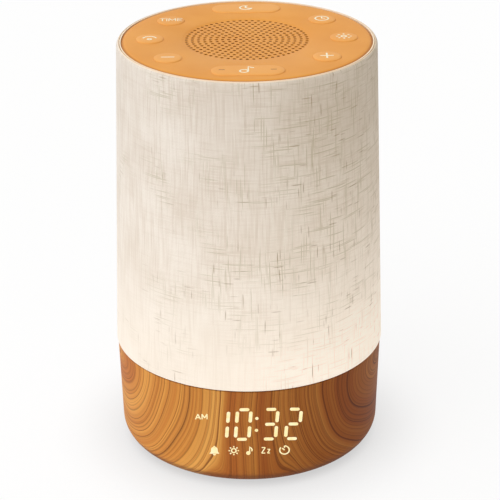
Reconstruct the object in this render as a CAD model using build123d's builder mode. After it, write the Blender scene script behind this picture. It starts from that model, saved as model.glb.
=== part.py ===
from build123d import *

import os
from math import asin, cos, degrees, radians, sin, sqrt, tan

# A round bedside lamp and alarm clock: a wood-look base with a display that shines through its wall,
# a fabric-covered shade and a control panel with a speaker and eight keys on top.
# Millimetres. The feet stand on height zero, the display faces -Y and the power socket +Y.

# Overall form
seam_height = 49.8  # table to the lower edge of the shade
shade_height = 136.4  # straight part of the shade
shade_bottom_radius = 60.0
shade_taper = 4.2  # radius that the shade loses towards its top
base_inset = 0.45  # top of the base inside the lower edge of the shade
base_lean = 1.5  # radius that the base loses from its top to its underside
base_corner_radius = 9.0
foot_gap = 1.2  # table to the underside of the base
seam_gap = 0.8  # shadow line between the base and the shade

# Clearances
fit_clearance = 0.2  # between pieces that slip together
glue_gap = 0.05  # between glued pieces
screw_clearance = 0.3  # round a screw in a hole that it passes through
thread_clearance = 0.05  # round a screw in the hole that it bites into
overrun = 1.0  # how far a cut runs past the face that it opens

# Base shell and feet
base_wall = 2.4
display_skin = 1.0  # wall that is left in front of the display
floor_thickness = 3.0
base_screw_inset = 12.5  # screws inside the rounded corner
base_screw_radius = 1.4
base_screw_bite = 8.0
lug_size = 7.6
screw_sides = 6
screw_head_radius = 2.7
screw_head_height = 1.5
foot_size = 9.0
foot_inset = 17.0  # pads inside the rounded corner

# Main board and what stands on it
board_thickness = 1.6
board_margin = 6.9  # corners of the eight-sided board to the wall of the base
board_rise = 5.8  # board above the rounded corner of the base
tab_margin = 1.6  # tab under the socket to the wall of the base
socket_width = 8.94
socket_height = 3.26
socket_depth = 7.3
socket_wall = 0.35
socket_recess = 0.6
socket_tongue_width = 6.7
socket_tongue_height = 0.7
socket_tongue_length = 4.5
socket_tab_width = 14.0
chip_size = 10.0
chip_height = 1.4
chip_spacing = 16.0
chip_row = 20.0
capacitor_radius = 4.0
capacitor_height = 11.0
capacitor_share = 0.5  # place across and along, as a share of the board's radius
plug_width = 8.0
plug_depth = 5.0
plug_height = 6.0

# Display
window_margin = 0.8
window_rise = 7.0  # window above the rounded corner of the base
light_box_depth = 4.5
lens_edge = 0.8
clock_offset = 2.8  # middle of the four digits, right of the middle of the base
clock_rise = 13.3  # middle of the digits above the middle of the icon row
digit_height = 14.6
digit_width = 6.3
digit_pitch = 10.5
colon_pitch = 11.65
digit_stroke = 1.6
digit_slant = 3.0
bar_gap = 0.3
colon_spread = 5.8
icon_size = 4.0
icon_margin = 0.5  # icons to the lower edge of the light box
icon_pitch = 7.9
icon_count = 5
half_day_width = 5.0
half_day_height = 3.0
half_day_gap = 1.6  # left of the first digit
half_day_margin = 0.9
half_day_rise = 4.0
ear_width = 7.0
ear_length = 8.0
ear_thickness = 2.4
ear_inset = 3.5
display_screw_radius = 1.2
display_screw_bite = 3.0
header_width = 20.0
header_height = 2.5
header_reach = 5.0
header_gap = 1.0

# Lamp deck and lamp board
deck_flange_inset = 1.0
spigot_height = 3.0
leg_size = 7.0
lamp_board_inset = 7.2  # corners of the eight-sided board inside the step of the deck
lamp_led_size = 5.0
lamp_led_height = 1.4
lamp_outer_share = 0.6  # ring of diodes, as a share of the board's radius
lamp_outer_count = 12
lamp_inner_share = 0.28
lamp_inner_count = 6
ribbon_width = 4.6
ribbon_thickness = 1.2
lamp_lead_across = 12.0
lamp_lead_front = 6.0

# Shade, rim and cable duct
fabric_thickness = 0.9
shoulder_radius = 2.0  # round edge where the fabric turns over the rim
shoulder_turn = 60.0
diffuser_wall = 1.6
rim_height = 1.7
rim_lip = 0.5
rim_flange = 0.6
rim_spigot_wall = 1.5
duct_size = 7.0
duct_wall = 1.0
duct_across = 11.0
duct_offset = 2.0  # behind the line of the rear screw

# Control panel and speaker grille
panel_thickness = 3.0
panel_sink = 0.5  # edge of the panel below the lip of the rim
panel_edge_drop = 0.8
panel_edge_width = 1.6
dish_margin = 3.0  # edge of the dish outside the speaker's frame
dish_depth = 0.4
grille_margin = 2.0
grille_rings = 5
grille_hole_radius = 1.0
grille_hole_sides = 6
post_size = 6.4
post_inset = 9.75
post_angle = 57.0
tray_screw_radius = 1.3
tray_screw_bite = 5.0

# Keys and their switches
key_inset = 12.2  # middle of the keys inside the edge of the panel
key_side_angle = 37.0
key_radius = 6.0
key_clearance = 0.2
key_proud = 0.6
key_bevel = 0.4
key_travel = 0.8
long_key_length = 30.5
long_key_width = 11.8
flange_width = 1.1
flange_thickness = 1.0
flange_gap = 0.1
stem_size = 3.0
stem_length = 1.6
plunger_size = 2.4
plunger_foot = 0.6
switch_size = 6.0
switch_height = 3.4
switch_rest = 0.4  # plunger that still stands out of its switch when the key is down
guide_size = 2.4
guide_spread = 11.0
key_board_inset = 0.5  # corners of the eight-sided board inside the rim

# Speaker and the tray below the panel
speaker_margin = 1.6  # frame to the nearest key flange
gasket_thickness = 0.8
gasket_width = 2.5
speaker_flange = 1.0
basket_wall = 1.0
basket_depth = 10.0
basket_margin = 0.5  # edge of the basket inside the gasket
basket_back_share = 0.55
surround_width = 2.6
cone_thickness = 0.5
cone_depth = 6.0
dust_cap_share = 0.32
magnet_height = 6.0
tray_wall = 1.6
cup_wall = 1.6
cup_depth = 18.0  # speaker frame to the floor of its chamber

# Heights and radii that follow from the sizes above
shade_top_radius = shade_bottom_radius - shade_taper
base_top_radius = shade_bottom_radius - base_inset
base_bottom = foot_gap
base_top = seam_height - seam_gap
base_bottom_radius = base_top_radius - base_lean
floor_top = base_bottom + floor_thickness
corner_top = base_bottom + base_corner_radius
board_bottom = corner_top + board_rise
board_top = board_bottom + board_thickness
deck_bottom = base_top
deck_top = seam_height + spigot_height
shade_top = seam_height + shade_height
rim_top = shade_top + rim_height
panel_edge_top = rim_top - panel_sink
panel_top = panel_edge_top + panel_edge_drop
panel_bottom = panel_top - panel_thickness
rim_seat = shade_top + rim_flange
shoulder_center_radius = shade_top_radius - shoulder_radius
rim_edge_radius = shoulder_radius - fabric_thickness - glue_gap
rim_lip_radius = shoulder_center_radius + rim_edge_radius * cos(radians(shoulder_turn))
rim_opening_radius = rim_lip_radius - rim_lip
panel_radius = rim_opening_radius - fit_clearance
rim_spigot_radius = shade_top_radius - fabric_thickness - diffuser_wall - fit_clearance
panel_plug_radius = rim_spigot_radius - rim_spigot_wall - fit_clearance
key_reach = panel_radius - key_inset
post_reach = panel_radius - post_inset
key_board_radius = rim_spigot_radius - rim_spigot_wall - key_board_inset
speaker_half = key_reach * cos(radians(key_side_angle)) - key_radius - flange_width - speaker_margin
speaker_size = 2 * speaker_half
basket_rim_radius = speaker_half - gasket_width - basket_margin
basket_back_radius = basket_back_share * basket_rim_radius
dust_cap_radius = dust_cap_share * basket_rim_radius
dish_radius = speaker_half + dish_margin
grille_ring_pitch = (dish_radius - grille_margin) / grille_rings
flange_top = panel_bottom - flange_gap
flange_bottom = flange_top - flange_thickness
plunger_top = flange_bottom - stem_length
switch_top = plunger_top - key_travel - switch_rest
key_board_top = switch_top - switch_height
key_board_bottom = key_board_top - board_thickness
tray_top = key_board_bottom
tray_bottom = tray_top - tray_wall
speaker_top = panel_bottom - gasket_thickness
cup_top = speaker_top - speaker_flange
cup_floor_top = cup_top - cup_depth
window_bottom = corner_top + window_rise
light_box_bottom = window_bottom + fit_clearance
light_box_top = deck_bottom
icons_height = light_box_bottom + icon_margin + icon_size / 2
digits_height = icons_height + clock_rise
display_board_top = light_box_top - ear_thickness - fit_clearance
socket_center = board_top + socket_height / 2

round_key_angles = {
    "brightness_key": 0,
    "timer_key": key_side_angle,
    "time_key": 180 - key_side_angle,
    "light_key": 180,
    "volume_down_key": 180 + key_side_angle,
    "volume_up_key": -key_side_angle,
}
long_key_angles = {"sleep_key": 90, "sound_key": -90}
flat_turn = 22.5  # turns an eight-sided outline flat to the axes


def base_radius(height):
    """Outside radius of the straight wall of the base."""
    return base_bottom_radius + base_lean * (height - base_bottom) / (base_top - base_bottom)


def polar_place(reach, angle):
    """Point at a distance from the axis and an angle from +X."""
    return (reach * cos(radians(angle)), reach * sin(radians(angle)))


def save(piece, name):
    """Label a finished piece and write it as its own file."""
    piece.label = name
    export_step(piece, f"parts/{name}.step")


os.makedirs("parts", exist_ok=True)
round_key_places = [polar_place(key_reach, angle) for angle in round_key_angles.values()]
long_key_places = [polar_place(key_reach, angle) for angle in long_key_angles.values()]
switch_places = round_key_places + long_key_places
post_places = [
    polar_place(post_reach, side + turn) for side in (0, 180) for turn in (-post_angle, post_angle)
]

digit_centers = [
    clock_offset + side * (colon_pitch / 2 + step * digit_pitch) for side in (-1, 1) for step in (0, 1)
]
first_digit_edge = digit_width / 2 + digit_stroke / 2 - min(digit_centers)
half_day_offset = first_digit_edge + half_day_gap + half_day_width / 2
light_box_width = 2 * (half_day_offset + half_day_width / 2 + half_day_margin)
lens_edge_radius = base_radius(light_box_bottom) - display_skin - lens_edge
light_box_front = sqrt(lens_edge_radius**2 - (light_box_width / 2) ** 2)
display_back = light_box_front - light_box_depth
display_board_back = display_back - board_thickness

# The base is a moulded cup with a big rounded lower edge. Inside, the wall is thinned for the display,
# and three lugs on its floor carry the main board.
corner_center_radius = base_bottom_radius - base_corner_radius
base_screw_reach = corner_center_radius - base_screw_inset
inner_corner_radius = base_corner_radius - base_wall
socket_face = base_radius(socket_center) - socket_recess
socket_back = socket_face - socket_depth
floor_edge_radius = corner_center_radius + sqrt(inner_corner_radius**2 - (corner_top - floor_top) ** 2)
with BuildPart() as base_shell:
    with BuildSketch(Plane.XZ):
        with BuildLine():
            Polyline(
                (0, base_bottom),
                (base_bottom_radius, base_bottom),
                (base_top_radius, base_top),
                (0, base_top),
                close=True,
            )
        make_face()
        fillet(vertices().group_by(Axis.Y)[0].sort_by(Axis.X)[-1], base_corner_radius)
    revolve(axis=Axis.Z)
    with BuildSketch(Plane.XZ):
        with BuildLine():
            Polyline(
                (0, floor_top),
                (floor_edge_radius, floor_top),
                (base_radius(corner_top) - base_wall, corner_top),
                (base_top_radius - base_wall, base_top),
                (base_top_radius - base_wall, base_top + overrun),
                (0, base_top + overrun),
                close=True,
            )
        make_face()
    revolve(axis=Axis.Z, mode=Mode.SUBTRACT)
    with BuildSketch(Plane.XY.offset(floor_top)):
        with PolarLocations(base_screw_reach, 3, start_angle=90):
            Rectangle(lug_size, lug_size)
    extrude(amount=board_bottom - floor_top)
    with BuildSketch(Plane.XY.offset(base_bottom - overrun)):
        with PolarLocations(base_screw_reach, 3, start_angle=90):
            RegularPolygon(base_screw_radius + screw_clearance, side_count=screw_sides)
    extrude(amount=board_bottom - base_bottom + 2 * overrun, mode=Mode.SUBTRACT)
    with BuildSketch(Plane.XY.offset(base_bottom - overrun)):
        with PolarLocations(base_screw_reach, 3, start_angle=90):
            RegularPolygon(screw_head_radius + screw_clearance, side_count=screw_sides)
    extrude(amount=overrun + screw_head_height + screw_clearance, mode=Mode.SUBTRACT)
    window_edge = light_box_width / 2 + window_margin
    window_half_angle = degrees(asin(window_edge / (base_radius(window_bottom) - base_wall)))
    window_start = radians(-90 - window_half_angle)
    with BuildSketch(
        Plane(
            origin=(0, 0, 0),
            x_dir=(cos(window_start), sin(window_start), 0),
            z_dir=(sin(window_start), -cos(window_start), 0),
        )
    ):
        with BuildLine():
            Polyline(
                (base_radius(window_bottom) - base_wall - overrun, window_bottom),
                (base_radius(window_bottom) - display_skin, window_bottom),
                (base_top_radius - display_skin, base_top),
                (base_top_radius - display_skin, base_top + overrun),
                (base_radius(window_bottom) - base_wall - overrun, base_top + overrun),
                close=True,
            )
        make_face()
    revolve(axis=Axis.Z, revolution_arc=2 * window_half_angle, mode=Mode.SUBTRACT)
    with BuildSketch(Plane(origin=(0, socket_back, socket_center), x_dir=(1, 0, 0), z_dir=(0, 1, 0))):
        SlotOverall(socket_width + 2 * fit_clearance, socket_height + 2 * fit_clearance)
    extrude(amount=socket_depth + socket_recess + overrun, mode=Mode.SUBTRACT)
save(base_shell.part, "base_shell")

# Four rubber pads are glued to the underside.
with BuildPart() as rubber_feet:
    with BuildSketch():
        with PolarLocations(corner_center_radius - foot_inset, 4, start_angle=45):
            Rectangle(foot_size, foot_size)
    extrude(amount=foot_gap)
save(rubber_feet.part, "rubber_feet")

# Three long screws from below clamp the shell's lugs, the main board and the legs of the lamp deck.
screw_seat = base_bottom + screw_head_height + screw_clearance
with BuildPart() as base_screws:
    with BuildSketch(Plane.XY.offset(screw_seat - screw_head_height)):
        with PolarLocations(base_screw_reach, 3, start_angle=90):
            RegularPolygon(screw_head_radius, side_count=screw_sides)
    extrude(amount=screw_head_height)
    with BuildSketch(Plane.XY.offset(screw_seat)):
        with PolarLocations(base_screw_reach, 3, start_angle=90):
            RegularPolygon(base_screw_radius, side_count=screw_sides)
    extrude(amount=board_top + base_screw_bite - screw_seat)
save(base_screws.part, "base_screws")

# The main board has eight straight sides, a cut front edge behind the display and a tab for the socket.
board_radius = base_radius(corner_top) - base_wall - board_margin
board_front = display_board_back - header_gap
tab_end = base_radius(corner_top) - base_wall - tab_margin
with BuildPart() as main_board:
    with BuildSketch(Plane.XY.offset(board_bottom)):
        RegularPolygon(board_radius, side_count=8, rotation=flat_turn)
        Rectangle(socket_tab_width, tab_end, align=(Align.CENTER, Align.MIN))
        with Locations((0, -board_front)):
            Rectangle(2 * board_radius, board_radius, align=(Align.CENTER, Align.MAX), mode=Mode.SUBTRACT)
        with PolarLocations(base_screw_reach, 3, start_angle=90):
            RegularPolygon(base_screw_radius + screw_clearance, side_count=screw_sides, mode=Mode.SUBTRACT)
    extrude(amount=board_thickness)
save(main_board.part, "main_board")

with BuildPart() as power_socket:
    with BuildSketch(Plane(origin=(0, socket_face, socket_center), x_dir=(1, 0, 0), z_dir=(0, 1, 0))):
        SlotOverall(socket_width, socket_height)
    extrude(amount=-socket_depth)
    with BuildSketch(Plane(origin=(0, socket_face, socket_center), x_dir=(1, 0, 0), z_dir=(0, 1, 0))):
        SlotOverall(socket_width - 2 * socket_wall, socket_height - 2 * socket_wall)
    extrude(amount=socket_wall - socket_depth, mode=Mode.SUBTRACT)
    with Locations((0, socket_face - socket_depth, socket_center)):
        Box(
            socket_tongue_width,
            socket_wall + socket_tongue_length,
            socket_tongue_height,
            align=(Align.CENTER, Align.MIN, Align.CENTER),
        )
save(power_socket.part, "power_socket")

with BuildPart() as control_chips:
    with BuildSketch(Plane.XY.offset(board_top)):
        with GridLocations(chip_spacing, chip_spacing, 2, 1):
            with Locations((0, -chip_row)):
                Rectangle(chip_size, chip_size)
    extrude(amount=chip_height)
save(control_chips.part, "control_chips")

with BuildPart() as supply_capacitor:
    with BuildSketch(Plane.XY.offset(board_top)):
        with Locations((-capacitor_share * board_radius, capacitor_share * board_radius)):
            Circle(capacitor_radius)
    extrude(amount=capacitor_height)
save(supply_capacitor.part, "supply_capacitor")


def digit_bars():
    """Place, turn and length of the seven bars of a digit, about its middle."""
    lean = tan(radians(digit_slant))
    bars = []
    for row in (-1, 0, 1):
        rise = row * digit_height / 2
        bars.append((rise * lean, rise, 0, digit_width - digit_stroke - 2 * bar_gap))
    for side in (-1, 1):
        for row in (-1, 1):
            rise = row * digit_height / 4
            across = side * digit_width / 2 + rise * lean
            bars.append((across, rise, 90 - digit_slant, digit_height / 2 - digit_stroke - 2 * bar_gap))
    return bars


icon_start = -icon_pitch * (icon_count - 1) / 2
icon_centers = [icon_start + icon_pitch * step for step in range(icon_count)]

ear_offset = light_box_width / 2 - ear_width / 2 - ear_inset
ear_places = [(side * ear_offset, ear_length - ear_width / 2 - display_back) for side in (-1, 1)]

# The light box keeps the light of each bar, dot and icon apart. Two ears hang it from the lamp deck.
with BuildPart() as display_light_box:
    with BuildSketch(Plane.XZ.offset(display_back)):
        with Locations((0, light_box_bottom)):
            Rectangle(
                light_box_width, light_box_top - light_box_bottom, align=(Align.CENTER, Align.MIN)
            )
        for center in digit_centers:
            for across, rise, turn, length in digit_bars():
                with Locations((center + across, digits_height + rise)):
                    Rectangle(length, digit_stroke, rotation=turn, mode=Mode.SUBTRACT)
        with Locations((clock_offset, digits_height)):
            with GridLocations(colon_spread, colon_spread, 1, 2):
                Rectangle(digit_stroke, digit_stroke, mode=Mode.SUBTRACT)
        with Locations((-half_day_offset, digits_height + half_day_rise)):
            Rectangle(half_day_width, half_day_height, mode=Mode.SUBTRACT)
        with Locations(*[(center, icons_height) for center in icon_centers]):
            Rectangle(icon_size, icon_size, mode=Mode.SUBTRACT)
    extrude(amount=light_box_depth)
    with BuildSketch(Plane.XY.offset(light_box_top - ear_thickness)):
        with Locations((-ear_offset, -display_back), (ear_offset, -display_back)):
            Rectangle(ear_width, ear_length, align=(Align.CENTER, Align.MIN))
    extrude(amount=ear_thickness)
    with BuildSketch(Plane.XY.offset(light_box_top - ear_thickness - overrun)):
        with Locations(*ear_places):
            RegularPolygon(display_screw_radius + screw_clearance, side_count=screw_sides)
    extrude(amount=ear_thickness + 2 * overrun, mode=Mode.SUBTRACT)
save(display_light_box.part, "display_light_box")

# A clear lens fills the space between the flat light box and the curved wall.
with BuildPart() as display_lens:
    with BuildSketch(Plane.XZ):
        with BuildLine():
            Polyline(
                (0, light_box_bottom),
                (base_radius(light_box_bottom) - display_skin - fit_clearance, light_box_bottom),
                (base_radius(light_box_top) - display_skin - fit_clearance, light_box_top),
                (0, light_box_top),
                close=True,
            )
        make_face()
    revolve(axis=Axis.Z)
    with BuildSketch(Plane.XY.offset(light_box_bottom)):
        with Locations((0, -light_box_front)):
            Rectangle(light_box_width, base_top_radius, align=(Align.CENTER, Align.MAX))
    extrude(amount=light_box_top - light_box_bottom, mode=Mode.INTERSECT)
save(display_lens.part, "display_lens")

with BuildPart() as display_board:
    with BuildSketch(Plane.XZ.offset(display_board_back)):
        with Locations((0, light_box_bottom)):
            Rectangle(
                light_box_width, display_board_top - light_box_bottom, align=(Align.CENTER, Align.MIN)
            )
    extrude(amount=board_thickness)
save(display_board.part, "display_board")

# A right-angle pin header joins the display board to the main board.
with BuildPart() as display_header:
    with Locations((0, -display_board_back, board_top)):
        Box(
            header_width,
            header_gap + header_reach,
            header_height,
            align=(Align.CENTER, Align.MIN, Align.MIN),
        )
save(display_header.part, "display_header")

with BuildPart() as display_screws:
    with BuildSketch(Plane.XY.offset(light_box_top - ear_thickness - screw_head_height)):
        with Locations(*ear_places):
            RegularPolygon(screw_head_radius, side_count=screw_sides)
    extrude(amount=screw_head_height)
    with BuildSketch(Plane.XY.offset(light_box_top - ear_thickness)):
        with Locations(*ear_places):
            RegularPolygon(display_screw_radius, side_count=screw_sides)
    extrude(amount=ear_thickness + display_screw_bite)
save(display_screws.part, "display_screws")

# The lamp deck closes the base. Its thin flange shows as the shadow line, the step above it centres
# the shade, and three legs reach down to the main board.
duct_place = (duct_across, base_screw_reach + duct_offset)
lamp_lead_place = (-lamp_lead_across, -lamp_lead_front)
spigot_radius = shade_bottom_radius - fabric_thickness - diffuser_wall - fit_clearance - glue_gap
with BuildPart() as light_deck:
    with BuildSketch(Plane.XZ):
        with BuildLine():
            Polyline(
                (0, deck_bottom),
                (base_top_radius - deck_flange_inset, deck_bottom),
                (base_top_radius - deck_flange_inset, seam_height),
                (spigot_radius, seam_height),
                (spigot_radius, deck_top),
                (0, deck_top),
                close=True,
            )
        make_face()
    revolve(axis=Axis.Z)
    with BuildSketch(Plane.XY.offset(board_top)):
        with PolarLocations(base_screw_reach, 3, start_angle=90):
            Rectangle(leg_size, leg_size)
    extrude(amount=deck_bottom - board_top)
    with BuildSketch(Plane.XY.offset(board_top - overrun)):
        with PolarLocations(base_screw_reach, 3, start_angle=90):
            RegularPolygon(base_screw_radius + thread_clearance, side_count=screw_sides)
    extrude(amount=overrun + base_screw_bite + thread_clearance, mode=Mode.SUBTRACT)
    with BuildSketch(Plane.XY.offset(deck_bottom - overrun)):
        with Locations(*ear_places):
            RegularPolygon(display_screw_radius + thread_clearance, side_count=screw_sides)
    extrude(amount=overrun + display_screw_bite + thread_clearance, mode=Mode.SUBTRACT)
    with BuildSketch(Plane.XY.offset(deck_bottom - overrun)):
        with Locations(duct_place, lamp_lead_place):
            Rectangle(ribbon_width + 2 * fit_clearance, ribbon_thickness + 2 * fit_clearance)
    extrude(amount=deck_top - deck_bottom + 2 * overrun, mode=Mode.SUBTRACT)
save(light_deck.part, "light_deck")

# The lamp board is a metal-core plate on the deck with two rings of lamp diodes.
lamp_board_radius = spigot_radius - lamp_board_inset
lamp_board_top = deck_top + board_thickness
with BuildPart() as lamp_board:
    with BuildSketch(Plane.XY.offset(deck_top)):
        RegularPolygon(lamp_board_radius, side_count=8, rotation=flat_turn)
        with Locations(duct_place):
            Rectangle(duct_size + 2 * fit_clearance, duct_size + 2 * fit_clearance, mode=Mode.SUBTRACT)
    extrude(amount=board_thickness)
save(lamp_board.part, "lamp_board")

with BuildPart() as lamp_leds:
    with BuildSketch(Plane.XY.offset(lamp_board_top)):
        with PolarLocations(lamp_outer_share * lamp_board_radius, lamp_outer_count):
            Rectangle(lamp_led_size, lamp_led_size)
        with PolarLocations(lamp_inner_share * lamp_board_radius, lamp_inner_count):
            Rectangle(lamp_led_size, lamp_led_size)
    extrude(amount=lamp_led_height)
save(lamp_leds.part, "lamp_leds")

with BuildPart() as lamp_lead:
    with BuildSketch(Plane.XY.offset(board_top)):
        with Locations(lamp_lead_place):
            Rectangle(ribbon_width, ribbon_thickness)
    extrude(amount=deck_top - board_top)
save(lamp_lead.part, "lamp_lead")

# The shade is a stiff translucent tube. A linen sleeve is glued round it and turned over the rim.
with BuildPart() as shade_diffuser:
    with BuildSketch(Plane.XZ):
        with BuildLine():
            diffuser_inset = fabric_thickness + glue_gap
            Polyline(
                (shade_bottom_radius - diffuser_inset - diffuser_wall, seam_height),
                (shade_bottom_radius - diffuser_inset, seam_height),
                (shade_top_radius - diffuser_inset, shade_top),
                (shade_top_radius - diffuser_inset - diffuser_wall, shade_top),
                close=True,
            )
        make_face()
    revolve(axis=Axis.Z)
save(shade_diffuser.part, "shade_diffuser")

with BuildPart() as shade_fabric:
    with BuildSketch(Plane.XZ):
        with BuildLine():
            Polyline(
                (shade_top_radius - fabric_thickness, shade_top),
                (shade_bottom_radius - fabric_thickness, seam_height),
                (shade_bottom_radius, seam_height),
                (shade_top_radius, shade_top),
            )
            shoulder_center = (shoulder_center_radius, shade_top)
            outside = CenterArc(shoulder_center, shoulder_radius, 0, shoulder_turn)
            inside = CenterArc(shoulder_center, shoulder_radius - fabric_thickness, 0, shoulder_turn)
            Line(outside @ 1, inside @ 1)
        make_face()
    revolve(axis=Axis.Z)
save(shade_fabric.part, "shade_fabric")

# A duct behind the lamp hides the ribbon that runs from the main board to the key board.
with BuildPart() as cable_duct:
    with BuildSketch(Plane.XY.offset(deck_top)):
        with Locations(duct_place):
            Rectangle(duct_size, duct_size)
            Rectangle(duct_size - 2 * duct_wall, duct_size - 2 * duct_wall, mode=Mode.SUBTRACT)
    extrude(amount=tray_bottom - deck_top)
save(cable_duct.part, "cable_duct")

with BuildPart() as harness:
    with BuildSketch(Plane.XY.offset(board_top + plug_height)):
        with Locations(duct_place):
            Rectangle(ribbon_width, ribbon_thickness)
    extrude(amount=key_board_bottom - board_top - plug_height)
save(harness.part, "harness")

with BuildPart() as harness_plug:
    with BuildSketch(Plane.XY.offset(board_top)):
        with Locations(duct_place):
            Rectangle(plug_width, plug_depth)
    extrude(amount=plug_height)
save(harness_plug.part, "harness_plug")

# The cream rim caps the tube inside the turned edge of the sleeve. Its spigot centres it in the tube, its
# lip shows round the panel, and its flange carries the panel.
with BuildPart() as top_rim:
    with BuildSketch(Plane.XZ):
        with BuildLine():
            edge = CenterArc(shoulder_center, rim_edge_radius, 0, shoulder_turn)
            Polyline(
                edge @ 1,
                (rim_lip_radius, rim_top),
                (rim_opening_radius, rim_top),
                (rim_opening_radius, rim_seat),
                (rim_spigot_radius - rim_spigot_wall, rim_seat),
                (rim_spigot_radius - rim_spigot_wall, tray_top),
                (rim_spigot_radius, tray_top),
                (rim_spigot_radius, shade_top),
                edge @ 0,
            )
        make_face()
    revolve(axis=Axis.Z)
save(top_rim.part, "top_rim")

# The control panel: a flat disc with a sloping edge that hangs in the rim by a thin border. It has openings
# for the keys, a shallow round dish that is perforated in rings over the speaker, and four posts below.
grille_places = [
    (
        ring * grille_ring_pitch * cos(radians(60 * step / ring)),
        ring * grille_ring_pitch * sin(radians(60 * step / ring)),
    )
    for ring in range(1, grille_rings + 1)
    for step in range(6 * ring)
]
with BuildPart() as top_panel:
    with BuildSketch(Plane.XZ):
        with BuildLine():
            Polyline(
                (0, panel_bottom),
                (panel_plug_radius, panel_bottom),
                (panel_plug_radius, rim_seat),
                (panel_radius, rim_seat),
                (panel_radius, panel_edge_top),
                (panel_radius - panel_edge_width, panel_top),
                (0, panel_top),
                close=True,
            )
        make_face()
    revolve(axis=Axis.Z)
    with BuildSketch(Plane.XY.offset(panel_top - dish_depth)):
        Circle(dish_radius)
    extrude(amount=dish_depth + overrun, mode=Mode.SUBTRACT)
    with BuildSketch(Plane.XY.offset(panel_bottom - overrun)):
        with Locations(*round_key_places):
            Circle(key_radius + key_clearance)
        with Locations(*long_key_places):
            SlotOverall(long_key_length + 2 * key_clearance, long_key_width + 2 * key_clearance)
        with Locations((0, 0), *grille_places):
            RegularPolygon(grille_hole_radius, side_count=grille_hole_sides)
    extrude(amount=panel_thickness + 2 * overrun, mode=Mode.SUBTRACT)
    with BuildSketch(Plane.XY.offset(key_board_top)):
        with Locations(*post_places):
            Rectangle(post_size, post_size)
            RegularPolygon(tray_screw_radius + thread_clearance, side_count=screw_sides, mode=Mode.SUBTRACT)
    extrude(amount=panel_bottom - key_board_top)
save(top_panel.part, "top_panel")

# Round keys: a bevelled cap, a square flange that stops under the panel, and a stem on the switch.
for key_name, key_angle in round_key_angles.items():
    with BuildPart() as round_key:
        with BuildSketch(Plane.XY.offset(flange_bottom)):
            with Locations(polar_place(key_reach, key_angle)):
                Rectangle(2 * (key_radius + flange_width), 2 * (key_radius + flange_width))
        extrude(amount=flange_thickness)
        with BuildSketch(Plane.XY.offset(flange_top)):
            with Locations(polar_place(key_reach, key_angle)):
                Circle(key_radius)
        extrude(amount=panel_top + key_proud - flange_top)
        chamfer(edges().group_by(Axis.Z)[-1], key_bevel)
        with BuildSketch(Plane.XY.offset(plunger_top)):
            with Locations(polar_place(key_reach, key_angle)):
                Rectangle(stem_size, stem_size)
        extrude(amount=stem_length)
    save(round_key.part, key_name)

# Long keys have a guide post at each end, in a hole of the key board, so that they go down level.
guide_bottom = key_board_bottom + key_travel + fit_clearance
for key_name, key_angle in long_key_angles.items():
    with BuildPart() as long_key:
        with BuildSketch(Plane.XY.offset(flange_bottom)):
            with Locations(polar_place(key_reach, key_angle)):
                Rectangle(long_key_length + 2 * flange_width, long_key_width + 2 * flange_width)
        extrude(amount=flange_thickness)
        with BuildSketch(Plane.XY.offset(flange_top)):
            with Locations(polar_place(key_reach, key_angle)):
                SlotOverall(long_key_length, long_key_width)
        extrude(amount=panel_top + key_proud - flange_top)
        chamfer(edges().group_by(Axis.Z)[-1], key_bevel)
        with BuildSketch(Plane.XY.offset(plunger_top)):
            with Locations(polar_place(key_reach, key_angle)):
                Rectangle(stem_size, stem_size)
        extrude(amount=stem_length)
        with BuildSketch(Plane.XY.offset(guide_bottom)):
            with Locations(polar_place(key_reach, key_angle)):
                with GridLocations(2 * guide_spread, guide_spread, 2, 1):
                    Rectangle(guide_size, guide_size)
        extrude(amount=flange_bottom - guide_bottom)
    save(long_key.part, key_name)

# Each switch is a small square housing with a sprung plunger that the key's stem pushes down.
plunger_bottom = switch_top - plunger_foot
for key_name, key_angle in {**round_key_angles, **long_key_angles}.items():
    with BuildPart() as plunger:
        with BuildSketch(Plane.XY.offset(plunger_bottom)):
            with Locations(polar_place(key_reach, key_angle)):
                Rectangle(plunger_size, plunger_size)
        extrude(amount=plunger_top - plunger_bottom)
    save(plunger.part, key_name.replace("key", "plunger"))

with BuildPart() as key_switches:
    with BuildSketch(Plane.XY.offset(key_board_top)):
        with Locations(*switch_places):
            Rectangle(switch_size, switch_size)
    extrude(amount=switch_height)
    with BuildSketch(Plane.XY.offset(plunger_bottom - key_travel - fit_clearance)):
        with Locations(*switch_places):
            Rectangle(plunger_size + 2 * fit_clearance, plunger_size + 2 * fit_clearance)
    extrude(amount=switch_height, mode=Mode.SUBTRACT)
save(key_switches.part, "key_switches")

with BuildPart() as key_board:
    with BuildSketch(Plane.XY.offset(key_board_bottom)):
        RegularPolygon(key_board_radius, side_count=8, rotation=flat_turn)
        Rectangle(speaker_size + 2 * fit_clearance, speaker_size + 2 * fit_clearance, mode=Mode.SUBTRACT)
        with Locations(*post_places):
            RegularPolygon(tray_screw_radius + screw_clearance, side_count=screw_sides, mode=Mode.SUBTRACT)
        with Locations(*long_key_places):
            with GridLocations(2 * guide_spread, guide_spread, 2, 1):
                Rectangle(guide_size + 2 * key_clearance, guide_size + 2 * key_clearance, mode=Mode.SUBTRACT)
    extrude(amount=board_thickness)
save(key_board.part, "key_board")

# The speaker: a foam gasket under the panel, a square steel frame with its basket, a cone whose edge is
# glued to the frame, and a magnet on the back.
with BuildPart() as speaker_gasket:
    with BuildSketch(Plane.XY.offset(speaker_top)):
        Rectangle(speaker_size, speaker_size)
        Rectangle(speaker_size - 2 * gasket_width, speaker_size - 2 * gasket_width, mode=Mode.SUBTRACT)
    extrude(amount=gasket_thickness)
save(speaker_gasket.part, "speaker_gasket")

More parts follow.
